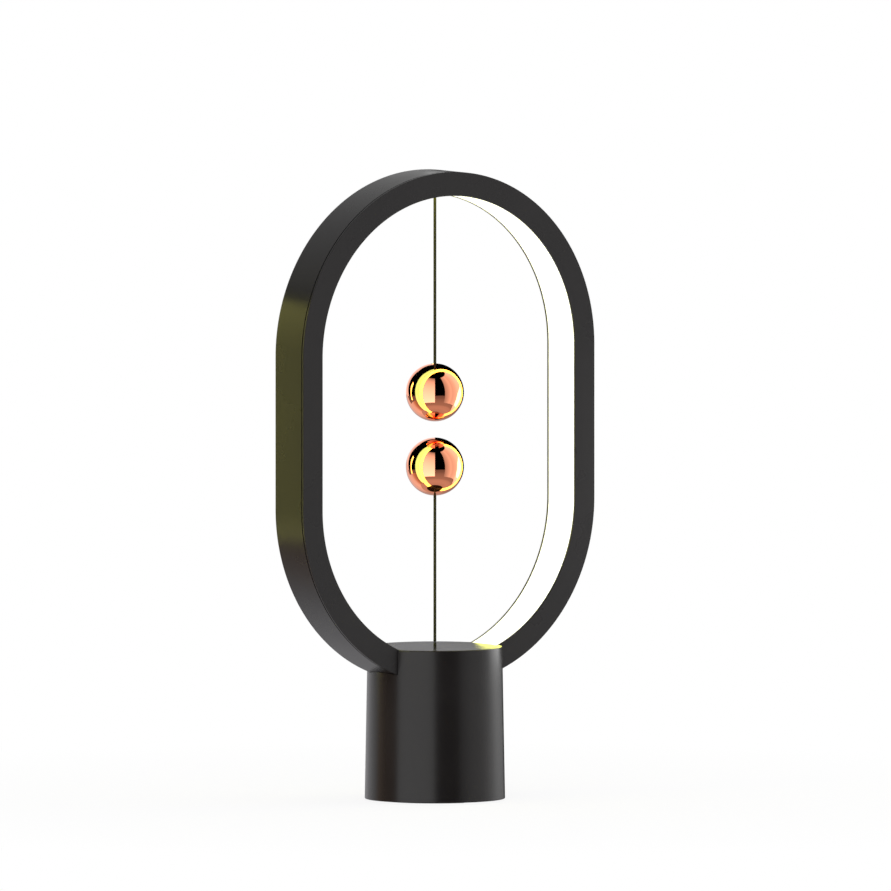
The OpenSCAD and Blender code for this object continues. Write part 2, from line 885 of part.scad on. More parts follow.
module inlet_shell() {
    color(steel)
        translate([0, inlet_mouth_y, inlet_z])
            difference() {
                inlet_prism(inlet_w, inlet_h, inlet_l);
                translate([0, 1, 0])
                    inlet_prism(inlet_w - 2 * inlet_t, inlet_h - 2 * inlet_t, inlet_l + 2);
            }
}

// Insulator that closes the inlet's shell behind, with its tongue
module inlet_tongue() {
    block_l = 2;
    blade_l = inlet_l - block_l - 0.8;
    blade_w = inlet_w - 2.3;
    blade_t = 0.7;
    root = 0.5;
    color([0.12, 0.12, 0.13])
        translate([0, inlet_back_y + block_l, inlet_z])
            union() {
                inlet_prism(inlet_w - 2 * inlet_t - 2 * run, inlet_h - 2 * inlet_t - 2 * run, block_l);
                translate([-blade_w / 2, -root, -blade_t / 2]) cube([blade_w, blade_l + root, blade_t]);
            }
}

module steel_weight() {
    color(steel)
        difference() {
            post(weight_r, weight_z, weight_t);
            at_each(standoffs) post(standoff_r + 2 * slip, weight_z - 1, weight_t + 2);
            wall_posts(lug_r, lug_at, lug_angles, weight_z - 1, weight_t + 2, 3 * slip);
        }
}

module bottom_cover() {
    pad_z = foot_t;
    color(case_black)
        difference() {
            union() {
                post(cover_r, cover_z, cover_t - run);
                at_each(standoffs) post(standoff_r, cover_top_z - 1, board_z - cover_top_z + 1 - run);
            }
            post(foot_d / 2 + slip, cover_z - 1, pad_z - cover_z + 1);
            at_each(standoffs) post(small_r + run, board_z - small_screw_l, small_screw_l + 1);
            for (p = lugs) {
                post(screw_r + slip, 0, cover_t + 2, p.x, p.y);
                post(1.75 * screw_r + slip, cover_z - 1, head_h + 1 + slip, p.x, p.y);
            }
        }
}

module cover_screws() {
    color(steel)
        for (p = lugs)
            screw(p.x, p.y, cover_z + head_h, screw_r, thread_l);
}

module foot_pad() {
    color([0.08, 0.08, 0.085])
        difference() {
            post(foot_d / 2, 0, foot_t - run);
            for (p = lugs) post(1.75 * screw_r + 3 * slip, -1, foot_t + 2, p.x, p.y);
        }
}

base_housing();
base_top_cap();
cap_screws();
cord_bushing();
ring_saddle();
saddle_screws();
ring_screws();
ring_channel();
ring_front_cover();
ring_diffuser();
led_carrier();
led_strip();
led_chips();
led_leads();
upper_cord_eyelet();
upper_cord_knot();
switch_body();
switch_lid();
switch_screws();
fixed_contacts();
switch_leads();
circuit_board();
board_parts();
board_screws();
inlet_shell();
inlet_tongue();
steel_weight();
bottom_cover();
cover_screws();
foot_pad();
pull_plunger();
contact_bridge();
return_spring();
pull_cord_tail();
upper_bend();
upper_cord();
upper_crimp();
upper_ball_cord_half();
upper_ball_magnet_half();
upper_ball_core();
upper_magnet();
lower_bend();
lower_cord();
lower_crimp();
lower_ball_cord_half();
lower_ball_magnet_half();
lower_ball_core();
lower_magnet();
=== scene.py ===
# Looks of the magnetic balance lamp: an oval light ring in a round base, with two mirror balls on cords.
# Metres, +Z up, front at -Y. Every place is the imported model's own.

import json
import math

import bmesh
import bpy
from mathutils import Matrix, Vector


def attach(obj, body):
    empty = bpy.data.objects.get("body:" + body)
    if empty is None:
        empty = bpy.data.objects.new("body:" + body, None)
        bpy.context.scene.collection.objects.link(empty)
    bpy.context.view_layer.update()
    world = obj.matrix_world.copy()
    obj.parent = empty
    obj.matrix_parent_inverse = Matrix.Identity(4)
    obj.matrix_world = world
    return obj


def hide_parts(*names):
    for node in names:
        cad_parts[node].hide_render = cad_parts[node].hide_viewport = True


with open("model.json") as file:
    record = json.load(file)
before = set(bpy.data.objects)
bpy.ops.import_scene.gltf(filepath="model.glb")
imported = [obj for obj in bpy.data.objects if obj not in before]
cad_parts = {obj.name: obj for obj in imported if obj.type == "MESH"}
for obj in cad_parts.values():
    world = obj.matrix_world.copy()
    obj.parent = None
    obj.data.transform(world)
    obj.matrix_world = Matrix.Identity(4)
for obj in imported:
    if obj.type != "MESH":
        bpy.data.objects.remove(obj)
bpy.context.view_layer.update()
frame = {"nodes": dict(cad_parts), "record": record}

# ---- Sizes, in metres ----

RING_R = 0.0675
RING_INNER_R = 0.0585
RING_HALF_DEPTH = 0.009
RING_WALL = 0.0016
RING_LIP = 0.0008
ARC_LOW_Z = 0.1114
ARC_TOP_Z = 0.169
DIFFUSER_R = 0.0587
DIFFUSER_T = 0.0018
SLIP = 0.0001
SEAM = 0.00002
GROOVE_WIDTH = 0.0005
GROOVE_DEPTH = 0.0006
BACK_EDGE_ROUND = 0.00025
FRONT_EDGE_ROUND = 0.0001
SEAM_EDGE_ROUND = 0.00005
BOTTOM_GAP = math.radians(1.9)

BASE_LOW_Z = 0.0004
BASE_TOP_Z = 0.0576
BASE_LOW_R = 0.02635
BASE_TOP_R = 0.0253
BASE_WALL = 0.002
BASE_TOP_ROUND = 0.0004
BASE_LOW_ROUND = 0.0003
BASE_INNER_ROUND = 0.00012
INLET_Z = 0.013
INLET_W = 0.0093
INLET_H = 0.0036
INLET_DEPTH = 0.0095
CUT_PAST_WALL = 0.001

BALL_R = 0.0109
UPPER_BALL_Z = 0.1531
LOWER_BALL_Z = 0.1252
MOUTH_R = 0.0015
MOUTH_DEPTH = 0.0008
CORD_HOLE_R = 0.00075
CORD_HOLE_DEPTH = 0.0024

# The bend of each cord is a ball of 0.0006 radius, and the hollowed end of the cord sits round it
CORD_R = 0.00055
SOCKET_R = 0.00062
BEND_FROM_EXIT = 0.0007
CORD_CUT = 0.001
UPPER_ROUTE = [(0, 0, z / 1000) for z in (
    226.3, 224, 221, 218, 215, 212, 209, 206, 203, 200, 197, 194, 191, 188, 185, 182, 179, 176, 173, 170,
    167, 164, 161)]
LOWER_ROUTE = [(0, 0, z / 1000) for z in (
    60.5, 63, 66, 69, 72, 75, 78, 81, 84, 87, 90, 93, 96, 99, 102, 105, 108, 111, 114, 117.3)]

FULL_TURN = 2 * math.pi
ARC_STEPS = 128
BASE_STEPS = 192
BALL_STEPS = 128
BALL_ARC_STEPS = 96
CORD_STEPS = 32
SOCKET_STEPS = 8
SAME_PLACE = 0.00002
MERGE_DISTANCE = 0.0000001
CARD_MERGE_DISTANCE = 0.000001


# ---- Camera: the photograph's view, straight and without perspective ----

CAMERA_ROUND = math.radians(35.96)
CAMERA_UP = math.radians(4.19)
CAMERA_DISTANCE = 1.0
CAMERA_WIDTH = 0.3344
AIM_HEIGHT = 0.1501
AIM_RIGHT = 0.00398
AIM_UP = -0.01695

camera_right = Vector((math.cos(CAMERA_ROUND), -math.sin(CAMERA_ROUND), 0))
camera_back = Vector((
    -math.sin(CAMERA_ROUND) * math.cos(CAMERA_UP),
    -math.cos(CAMERA_ROUND) * math.cos(CAMERA_UP),
    math.sin(CAMERA_UP)))
camera_up = camera_back.cross(camera_right)


def set_camera():
    data = bpy.data.cameras.new("photo_camera")
    data.type = "ORTHO"
    data.ortho_scale = CAMERA_WIDTH
    camera = bpy.data.objects.new("photo_camera", data)
    bpy.context.scene.collection.objects.link(camera)
    aim = Vector((0, 0, AIM_HEIGHT)) + camera_right * AIM_RIGHT + camera_up * AIM_UP
    turn_to_view = Matrix((camera_right, camera_up, camera_back)).transposed()
    camera.matrix_world = Matrix.Translation(aim + camera_back * CAMERA_DISTANCE) @ turn_to_view.to_4x4()
    bpy.context.scene.camera = camera


set_camera()
bpy.context.scene.view_settings.view_transform = "Standard"


# ---- Node helpers ----

def add(tree, kind, sockets=None, **settings):
    """A node with its settings, and its sockets set to a value or joined to another node's output."""
    made = tree.nodes.new(kind)
    for key, value in settings.items():
        setattr(made, key, value)
    for key, value in (sockets or {}).items():
        if isinstance(value, bpy.types.NodeSocket):
            tree.links.new(value, made.inputs[key])
        else:
            made.inputs[key].default_value = value
    return made


def calculate(tree, operation, first, second=0.0, clamp=False):
    return add(tree, "ShaderNodeMath", {0: first, 1: second}, operation=operation, use_clamp=clamp).outputs[0]


def spread(tree, value, low_in, high_in, low_out, high_out):
    made = add(tree, "ShaderNodeMapRange", {
        "Value": value, "From Min": low_in, "From Max": high_in, "To Min": low_out, "To Max": high_out})
    return made.outputs["Result"]


def blend_colours(tree, mask, first, second):
    made = add(tree, "ShaderNodeMix", {0: mask, 6: first, 7: second}, data_type="RGBA")
    return made.outputs[2]


def new_group(name, inputs, outputs):
    """An empty node group. Inputs are (name, default) and outputs are (name, kind)."""
    group = bpy.data.node_groups.new(name, "ShaderNodeTree")
    for label, default in inputs:
        socket = group.interface.new_socket(label, in_out="INPUT", socket_type="NodeSocketFloat")
        socket.default_value = default
    for label, kind in outputs:
        group.interface.new_socket(label, in_out="OUTPUT", socket_type=kind)
    return group, group.nodes.new("NodeGroupInput"), group.nodes.new("NodeGroupOutput")


def use_group(tree, group, **sockets):
    return add(tree, "ShaderNodeGroup", sockets, node_tree=group)


def moulded_grain():
    """Fine spark-eroded grain with slow blotches of sheen, as on a moulded case."""
    group, given, result = new_group(
        "moulded_grain",
        [("Scale", 2600.0)],
        [("Height", "NodeSocketFloat"), ("Blotch", "NodeSocketFloat")])
    place = add(group, "ShaderNodeTexCoord").outputs["Object"]
    fine = add(group, "ShaderNodeTexNoise", {
        "Vector": place, "Scale": given.outputs["Scale"], "Detail": 3.0, "Roughness": 0.6})
    blotch = add(group, "ShaderNodeTexNoise", {"Vector": place, "Scale": 45.0, "Detail": 4.0})
    group.links.new(fine.outputs["Fac"], result.inputs["Height"])
    group.links.new(blotch.outputs["Fac"], result.inputs["Blotch"])
    return group


def worn_edges():
    """1 on edges that stick out and 0 elsewhere, broken up by noise."""
    group, given, result = new_group("worn_edges", [("Width", 0.0003)], [("Mask", "NodeSocketFloat")])
    rounded = add(group, "ShaderNodeBevel", {"Radius": given.outputs["Width"]}, samples=4)
    flat = add(group, "ShaderNodeNewGeometry")
    same = add(group, "ShaderNodeVectorMath", {
        0: rounded.outputs["Normal"], 1: flat.outputs["Normal"]}, operation="DOT_PRODUCT")
    edge = spread(group, same.outputs["Value"], 0.995, 0.86, 0.0, 1.0)
    place = add(group, "ShaderNodeTexCoord").outputs["Object"]
    breaks = add(group, "ShaderNodeTexNoise", {"Vector": place, "Scale": 420.0, "Detail": 4.0})
    patchy = spread(group, breaks.outputs["Fac"], 0.35, 0.7, 0.25, 1.0)
    group.links.new(calculate(group, "MULTIPLY", edge, patchy, clamp=True), result.inputs["Mask"])
    return group


def brushed_lines():
    """Fine turned or drawn lines across the Z axis, for metal parts."""
    group, given, result = new_group("brushed_lines", [("Scale", 900.0)], [("Lines", "NodeSocketFloat")])
    place = add(group, "ShaderNodeTexCoord").outputs["Object"]
    squeezed = add(group, "ShaderNodeMapping", {"Vector": place, "Scale": (0.06, 0.06, 1.0)})
    lines = add(group, "ShaderNodeTexNoise", {
        "Vector": squeezed.outputs["Vector"], "Scale": given.outputs["Scale"], "Detail": 3.0})
    group.links.new(lines.outputs["Fac"], result.inputs["Lines"])
    return group


def fine_scratches():
    """Hairline polishing marks in all directions, for mirror metal."""
    group, given, result = new_group("fine_scratches", [("Scale", 260.0)], [("Marks", "NodeSocketFloat")])
    place = add(group, "ShaderNodeTexCoord").outputs["Object"]
    swirl = add(group, "ShaderNodeTexNoise", {"Vector": place, "Scale": 90.0, "Detail": 2.0})
    bent = add(group, "ShaderNodeVectorMath", {
        0: place, 1: swirl.outputs["Color"], 2: place}, operation="MULTIPLY_ADD")
    cells = add(group, "ShaderNodeTexVoronoi", {
        "Vector": bent.outputs[0], "Scale": given.outputs["Scale"]}, feature="DISTANCE_TO_EDGE")
    marks = spread(group, cells.outputs["Distance"], 0.0, 0.03, 1.0, 0.0)
    group.links.new(marks, result.inputs["Marks"])
    return group


GRAIN = moulded_grain()
WEAR = worn_edges()
LINES = brushed_lines()
SCRATCHES = fine_scratches()


def new_material(name, **constants):
    """A material with a Principled shader, whose constant sockets are set by name."""
    material = bpy.data.materials.new(name)
    material.use_nodes = True
    tree = material.node_tree
    shader = tree.nodes["Principled BSDF"]
    for key, value in constants.items():
        shader.inputs[key.replace("_", " ")].default_value = value
    return material, tree, shader


def bump(tree, shader, height, distance, strength=1.0):
    made = add(tree, "ShaderNodeBump", {"Height": height, "Distance": distance, "Strength": strength})
    tree.links.new(made.outputs["Normal"], shader.inputs["Normal"])


# ---- Materials ----

DIFFUSER_LIGHT = 5.0
DIFFUSER_SEEN = 0.65
BRAID_STRANDS = 8
BRAID_PITCH = 0.0032

# Most values of a noise texture lie between these
NOISE_LOW = 0.3
NOISE_HIGH = 0.7


def moulded_plastic(name, dark, light, worn, roughness, grain_scale, grain_depth, **constants):
    """Moulded plastic with grain, blotches of sheen and slightly polished edges."""
    material, tree, shader = new_material(name, **constants)
    grain = use_group(tree, GRAIN, Scale=grain_scale)
    edges = use_group(tree, WEAR).outputs["Mask"]
    tone = spread(tree, grain.outputs["Blotch"], NOISE_LOW, NOISE_HIGH, 0.0, 1.0)
    colour = blend_colours(tree, tone, dark, light)
    tree.links.new(blend_colours(tree, edges, colour, worn), shader.inputs["Base Color"])
    sheen = spread(tree, grain.outputs["Blotch"], NOISE_LOW, NOISE_HIGH, roughness - 0.02, roughness + 0.02)
    polished = calculate(tree, "MULTIPLY", edges, 0.06)
    tree.links.new(calculate(tree, "SUBTRACT", sheen, polished), shader.inputs["Roughness"])
    bump(tree, shader, grain.outputs["Height"], grain_depth)
    return material


def lit_diffuser(name):
    """Milky band, lit from behind. Its warm light falls on the other parts, and the eye sees it as white."""
    material, tree, shader = new_material(name, Roughness=0.5, Emission_Strength=DIFFUSER_LIGHT)
    grain = use_group(tree, GRAIN, Scale=1500.0)
    tone = spread(tree, grain.outputs["Blotch"], NOISE_LOW, NOISE_HIGH, 0.0, 1.0)
    milk = blend_colours(tree, tone, (0.90, 0.90, 0.86, 1), (0.94, 0.94, 0.91, 1))
    tree.links.new(milk, shader.inputs["Base Color"])
    warm = blend_colours(tree, tone, (0.98, 0.98, 0.110, 1), (1.0, 1.0, 0.120, 1))
    looked_at = add(tree, "ShaderNodeLightPath").outputs["Is Camera Ray"]
    white = [DIFFUSER_SEEN / DIFFUSER_LIGHT] * 3 + [1]
    tree.links.new(blend_colours(tree, looked_at, warm, white), shader.inputs["Emission Color"])
    bump(tree, shader, grain.outputs["Height"], 0.000004)
    return material


def mirror_copper(name):
    """Polished copper plating with hairline marks."""
    material, tree, shader = new_material(name, Metallic=1.0)
    marks = use_group(tree, SCRATCHES).outputs["Marks"]
    grain = use_group(tree, GRAIN, Scale=900.0)
    tone = spread(tree, grain.outputs["Blotch"], NOISE_LOW, NOISE_HIGH, 0.0, 1.0)
    colour = blend_colours(tree, tone, (0.98, 0.36, 0.20, 1), (1.0, 0.385, 0.22, 1))
    tree.links.new(colour, shader.inputs["Base Color"])
    tree.links.new(spread(tree, marks, 0.0, 1.0, 0.035, 0.06), shader.inputs["Roughness"])
    bump(tree, shader, marks, 0.0000002, 0.3)
    return material


def metal(name, dark, light, roughness, line_scale, line_depth):
    """Turned, drawn or stamped metal with fine lines and brighter edges."""
    material, tree, shader = new_material(name, Metallic=1.0)
    lines = use_group(tree, LINES, Scale=line_scale).outputs["Lines"]
    edges = use_group(tree, WEAR, Width=0.0002).outputs["Mask"]
    colour = blend_colours(tree, lines, dark, light)
    tree.links.new(blend_colours(tree, edges, colour, light), shader.inputs["Base Color"])
    sheen = spread(tree, lines, NOISE_LOW, NOISE_HIGH, roughness - 0.06, roughness + 0.06)
    tree.links.new(sheen, shader.inputs["Roughness"])
    bump(tree, shader, lines, line_depth)
    return material


def braided_cord(name):
    """Dark olive braid: two sets of strands wind round the cord's own length."""
    material, tree, shader = new_material(name, Roughness=0.8, Specular_IOR_Level=0.3)
    place = add(tree, "ShaderNodeTexCoord").outputs["Object"]
    axes = add(tree, "ShaderNodeSeparateXYZ", {"Vector": place})
    angle = calculate(tree, "ARCTAN2", axes.outputs["Y"], axes.outputs["X"])
    round_part = calculate(tree, "MULTIPLY", angle, float(BRAID_STRANDS))
    along = calculate(tree, "MULTIPLY", axes.outputs["Z"], FULL_TURN * BRAID_STRANDS / BRAID_PITCH)
    one_way = calculate(tree, "SINE", calculate(tree, "ADD", round_part, along))
    other_way = calculate(tree, "SINE", calculate(tree, "SUBTRACT", round_part, along))
    weave = calculate(tree, "ABSOLUTE", calculate(tree, "MULTIPLY", one_way, other_way))
    colour = blend_colours(tree, weave, (0.010, 0.010, 0.003, 1), (0.018, 0.018, 0.006, 1))
    tree.links.new(colour, shader.inputs["Base Color"])
    bump(tree, shader, weave, 0.000001)
    return material


def soft_rubber(name):
    material, tree, shader = new_material(name, Specular_IOR_Level=0.3)
    grain = use_group(tree, GRAIN, Scale=1400.0)
    tone = spread(tree, grain.outputs["Blotch"], NOISE_LOW, NOISE_HIGH, 0.0, 1.0)
    colour = blend_colours(tree, tone, (0.010, 0.010, 0.011, 1), (0.018, 0.018, 0.019, 1))
    tree.links.new(colour, shader.inputs["Base Color"])
    sheen = spread(tree, grain.outputs["Height"], NOISE_LOW, NOISE_HIGH, 0.75, 0.92)
    tree.links.new(sheen, shader.inputs["Roughness"])
    bump(tree, shader, grain.outputs["Height"], 0.00003)
    return material


def circuit_green(name):
    """Solder mask with faint copper tracks under it."""
    material, tree, shader = new_material(name, Coat_Weight=0.3)
    place = add(tree, "ShaderNodeTexCoord").outputs["Object"]
    tracks = add(tree, "ShaderNodeTexBrick", {
        "Vector": place, "Scale": 240.0, "Mortar Size": 0.06, "Color1": (0, 0, 0, 1), "Color2": (0, 0, 0, 1),
        "Mortar": (1, 1, 1, 1)})
    mask = add(tree, "ShaderNodeSeparateColor", {"Color": tracks.outputs["Color"]}).outputs["Red"]
    colour = blend_colours(tree, mask, (0.010, 0.085, 0.030, 1), (0.035, 0.165, 0.060, 1))
    tree.links.new(colour, shader.inputs["Base Color"])
    tree.links.new(spread(tree, mask, 0.0, 1.0, 0.35, 0.28), shader.inputs["Roughness"])
    bump(tree, shader, mask, 0.00003)
    return material


CASE_DARK = (0.0108, 0.0094, 0.0096, 1)
CASE_LIGHT = (0.0130, 0.0114, 0.0116, 1)
CASE_WORN = (0.0160, 0.0148, 0.0148, 1)
CASE_GLOSS = 0.27

base_black = moulded_plastic(
    "base_black", CASE_DARK, CASE_LIGHT, CASE_WORN, 0.25, 2600.0, 0.000002, Specular_IOR_Level=CASE_GLOSS)
ring_black = moulded_plastic(
    "ring_black", CASE_DARK, CASE_LIGHT, CASE_WORN, 0.28, 2200.0, 0.000003, Specular_IOR_Level=CASE_GLOSS)
switch_black = moulded_plastic(
    "switch_black", CASE_DARK, (0.02, 0.02, 0.021, 1), CASE_WORN, 0.45, 1800.0, 0.000008)
nylon = moulded_plastic(
    "nylon", (0.62, 0.61, 0.56, 1), (0.70, 0.69, 0.64, 1), (0.8, 0.79, 0.75, 1), 0.42, 1500.0, 0.000006,
    Subsurface_Weight=0.1, Subsurface_Scale=0.001)
ball_copper = mirror_copper("ball_copper")
cord_olive = braided_cord("cord_olive")

FINISHES = {
    "base_black": base_black,
    "ring_black": ring_black,
    "bushing_black": base_black,
    "switch_black": switch_black,
    "nylon": nylon,
    "diffuser_white": lit_diffuser("diffuser_white"),
    "ball_copper": ball_copper,
    "cord_olive": cord_olive,
    "screw_steel": metal(
        "screw_steel", (0.42, 0.42, 0.43, 1), (0.62, 0.62, 0.63, 1), 0.30, 1500.0, 0.000004),
    "carrier_aluminium": metal(
        "carrier_aluminium", (0.66, 0.67, 0.68, 1), (0.82, 0.83, 0.84, 1), 0.38, 900.0, 0.000005),
    "strip_white": moulded_plastic(
        "strip_white", (0.72, 0.72, 0.70, 1), (0.80, 0.80, 0.78, 1), (0.86, 0.86, 0.84, 1),
        0.4, 1600.0, 0.000005),
    "led_yellow": moulded_plastic(
        "led_yellow", (0.80, 0.55, 0.08, 1), (0.90, 0.66, 0.12, 1), (0.95, 0.75, 0.3, 1),
        0.35, 1600.0, 0.000005),
    "lead_red": moulded_plastic(
        "lead_red", (0.35, 0.016, 0.014, 1), (0.45, 0.025, 0.020, 1), (0.5, 0.06, 0.05, 1),
        0.45, 1600.0, 0.000006),
    "lead_black": moulded_plastic(
        "lead_black", CASE_DARK, CASE_LIGHT, CASE_WORN, 0.45, 1600.0, 0.000006),
    "contact_brass": metal(
        "contact_brass", (0.55, 0.36, 0.12, 1), (0.78, 0.56, 0.24, 1), 0.28, 1300.0, 0.000003),
    "board_green": circuit_green("board_green"),
    "inlet_steel": metal(
        "inlet_steel", (0.50, 0.50, 0.51, 1), (0.70, 0.70, 0.71, 1), 0.26, 1200.0, 0.000003),
    "weight_steel": metal(
        "weight_steel", (0.30, 0.30, 0.31, 1), (0.46, 0.46, 0.47, 1), 0.42, 700.0, 0.000010),
    "foot_rubber": soft_rubber("foot_rubber"),
    "spring_steel": metal(
        "spring_steel", (0.45, 0.45, 0.46, 1), (0.66, 0.66, 0.67, 1), 0.25, 1600.0, 0.000002),
    "magnet_nickel": metal(
        "magnet_nickel", (0.60, 0.58, 0.54, 1), (0.76, 0.74, 0.69, 1), 0.16, 900.0, 0.000002),
}

SLOT_OF = {}
for part in frame["record"]["subparts"]:
    SLOT_OF[part["node"]] = part["material_slot"]
for name, cad_node in frame["nodes"].items():
    for material_slot in cad_node.material_slots:
        material_slot.material = FINISHES[SLOT_OF[name]]


# ---- Mesh helpers ----

SHARP_EDGE = math.radians(35)


def new_piece(name, bm, node, body):
    """A finished piece in the finish of the CAD node that it stands for."""
    bmesh.ops.remove_doubles(bm, verts=bm.verts, dist=MERGE_DISTANCE)
    bmesh.ops.recalc_face_normals(bm, faces=bm.faces)
    for face in bm.faces:
        face.smooth = True
    for edge in bm.edges:
        edge.smooth = edge.is_manifold and edge.calc_face_angle() < SHARP_EDGE
    mesh = bpy.data.meshes.new(name)
    bm.to_mesh(mesh)
    bm.free()
    mesh.materials.append(FINISHES[SLOT_OF[node]])
    piece = bpy.data.objects.new(name, mesh)
    bpy.context.scene.collection.objects.link(piece)
    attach(piece, body)
    return piece


def keep_faces_flat(piece):
    """Wide faces keep their own shading beside narrow rounded edges."""
    piece.modifiers.new("flat_faces", "WEIGHTED_NORMAL").keep_sharp = True


def round_edges(bm, edges, radius, segments=3):
    bmesh.ops.bevel(
        bm, geom=edges, offset=radius, offset_type="OFFSET", segments=segments, profile=0.5,
        affect="EDGES", clamp_overlap=True, material=-1)


def close_to(value, wanted):
    return abs(value - wanted) < SAME_PLACE


def turned_body(profile, steps, closed=True):
    """A profile of (radius, z) points, turned once round the Z axis."""
    bm = bmesh.new()
    corners = [bm.verts.new((r, 0, z)) for r, z in profile]
    pairs = list(zip(corners, corners[1:]))
    if closed:
        pairs.append((corners[-1], corners[0]))
    edges = [bm.edges.new(pair) for pair in pairs]
    bmesh.ops.spin(
        bm, geom=corners + edges, cent=(0, 0, 0), axis=(0, 0, 1), angle=FULL_TURN, steps=steps,
        use_merge=True, use_duplicate=False)
    bmesh.ops.remove_doubles(bm, verts=bm.verts, dist=MERGE_DISTANCE)
    return bm


# ---- Cords ----

def braided_tube(name, route, node, body, **facts):
    """A straight round cord, cut across about every millimetre of its length. Its end at the lamp is hollowed
    to sit round its bend, a small ball that it turns about, so that no light shows between them."""
    exit_z = route[0][2]
    far_z = route[-1][2]
    length = abs(far_z - exit_z)
    way = math.copysign(1, far_z - exit_z)
    bend_z = exit_z - way * BEND_FROM_EXIT
    rim_angle = math.asin(CORD_R / SOCKET_R)
    hollow = [rim_angle * i / SOCKET_STEPS for i in range(SOCKET_STEPS + 1)]
    profile = [(SOCKET_R * math.sin(angle), bend_z + way * SOCKET_R * math.cos(angle)) for angle in hollow]
    rim_z = profile[-1][1]
    cuts = int(length / CORD_CUT) + 1
    profile += [(CORD_R, rim_z + (far_z - rim_z) * i / cuts) for i in range(1, cuts + 1)]
    profile.append((0.0, far_z))
    cord = new_piece(name, turned_body(profile, CORD_STEPS, closed=False), node, body)
    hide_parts(node)


braided_tube("upper_cord_braid", UPPER_ROUTE, "upper_cord", "upper_ball", stiffness="limp", lay="hanging")
braided_tube("lower_cord_braid", LOWER_ROUTE, "lower_cord", "lower_ball", stiffness="limp", lay="taut")


# ---- Ring ----

def oval_radius(point):
    """Distance from the middle line between the ring's two arcs."""
    off = point.z - min(max(point.z, ARC_LOW_Z), ARC_TOP_Z)
    return math.hypot(point.x, off)


def turn_edges(bm, edges, z, angle, steps):
    spun = bmesh.ops.spin(
        bm, geom=edges, cent=(0, 0, z), axis=(0, -1, 0), angle=angle, steps=steps,
        use_merge=False, use_duplicate=False)
    return [e for e in spun["geom_last"] if isinstance(e, bmesh.types.BMEdge)]


def raise_edges(bm, edges, height):
    grown = bmesh.ops.extrude_edge_only(bm, edges=edges)["geom"]
    bmesh.ops.translate(bm, verts=[v for v in grown if isinstance(v, bmesh.types.BMVert)], vec=(0, 0, height))
    return [e for e in grown if isinstance(e, bmesh.types.BMEdge) and close_to(
        e.verts[0].co.z - e.verts[1].co.z, 0)]


def sweep_round_ring(profile, gap=0.0):
    """A closed profile of (radius, y) points, swept round the oval, with a gap angle either side of the
    bottom."""
    bm = bmesh.new()
    start = gap - math.pi / 2
    corners = [bm.verts.new((r * math.cos(start), y, ARC_LOW_Z + r * math.sin(start))) for r, y in profile]
    first = [bm.edges.new(pair) for pair in zip(corners, corners[1:] + corners[:1])]
    straight = ARC_TOP_Z - ARC_LOW_Z
    edges = turn_edges(bm, first, ARC_LOW_Z, math.pi / 2 - gap, ARC_STEPS // 2)
    edges = raise_edges(bm, edges, straight)
    edges = turn_edges(bm, edges, ARC_TOP_Z, math.pi, ARC_STEPS)
    edges = raise_edges(bm, edges, -straight)
    last = turn_edges(bm, edges, ARC_LOW_Z, math.pi / 2 - gap, ARC_STEPS // 2)
    if gap:
        for loop in (first, last):
            bmesh.ops.contextual_create(bm, geom=loop)
    bmesh.ops.remove_doubles(bm, verts=bm.verts, dist=MERGE_DISTANCE)
    return bm


def ring_edges(bm, radius, y):
    """The long edges of the ring at one corner of its profile."""
    return [e for e in bm.edges if all(
        close_to(v.co.y, y) and close_to(oval_radius(v.co), radius) for v in e.verts)]


def ring_shell():
    back = RING_HALF_DEPTH
    seat_r = DIFFUSER_R + DIFFUSER_T + SLIP
    seam_y = RING_LIP - RING_HALF_DEPTH
    groove_r = RING_R - GROOVE_DEPTH
    groove_y = seam_y + GROOVE_WIDTH
    bm = sweep_round_ring([
        (groove_r, seam_y), (groove_r, groove_y), (RING_R, groove_y), (RING_R, back), (RING_INNER_R, back),
        (RING_INNER_R, back - RING_LIP), (seat_r, back - RING_LIP), (seat_r, back - RING_WALL),
        (RING_R - RING_WALL, back - RING_WALL), (RING_R - RING_WALL, seam_y)], gap=BOTTOM_GAP)
    round_edges(bm, ring_edges(bm, RING_R, back), BACK_EDGE_ROUND)
    round_edges(bm, ring_edges(bm, RING_INNER_R, back), BACK_EDGE_ROUND)
    round_edges(bm, ring_edges(bm, RING_R, groove_y), SEAM_EDGE_ROUND, 2)
    piece = new_piece("ring_shell", bm, "ring_channel", "lamp_body")
    keep_faces_flat(piece)
    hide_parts("ring_channel")


def ring_front():
    front = -RING_HALF_DEPTH
    seat_r = DIFFUSER_R + DIFFUSER_T + SLIP
    step_r = RING_R - RING_WALL - SLIP
    bm = sweep_round_ring([
        (RING_R, front), (RING_INNER_R, front), (RING_INNER_R, front + RING_LIP - SEAM),
        (seat_r, front + RING_LIP - SEAM), (seat_r, front + RING_WALL), (step_r, front + RING_WALL),
        (step_r, front + RING_LIP - SEAM), (RING_R, front + RING_LIP - SEAM)])
    round_edges(bm, ring_edges(bm, RING_R, front), FRONT_EDGE_ROUND)
    round_edges(bm, ring_edges(bm, RING_INNER_R, front), FRONT_EDGE_ROUND)
    round_edges(bm, ring_edges(bm, RING_R, front + RING_LIP - SEAM), SEAM_EDGE_ROUND, 2)
    piece = new_piece("ring_front", bm, "ring_front_cover", "lamp_body")
    keep_faces_flat(piece)
    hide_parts("ring_front_cover")


ring_shell()
ring_front()


# ---- Base ----

def turned_edges(bm, radius, z):
    return [e for e in bm.edges if all(
        close_to(v.co.z, z) and close_to(math.hypot(v.co.x, v.co.y), radius) for v in e.verts)]


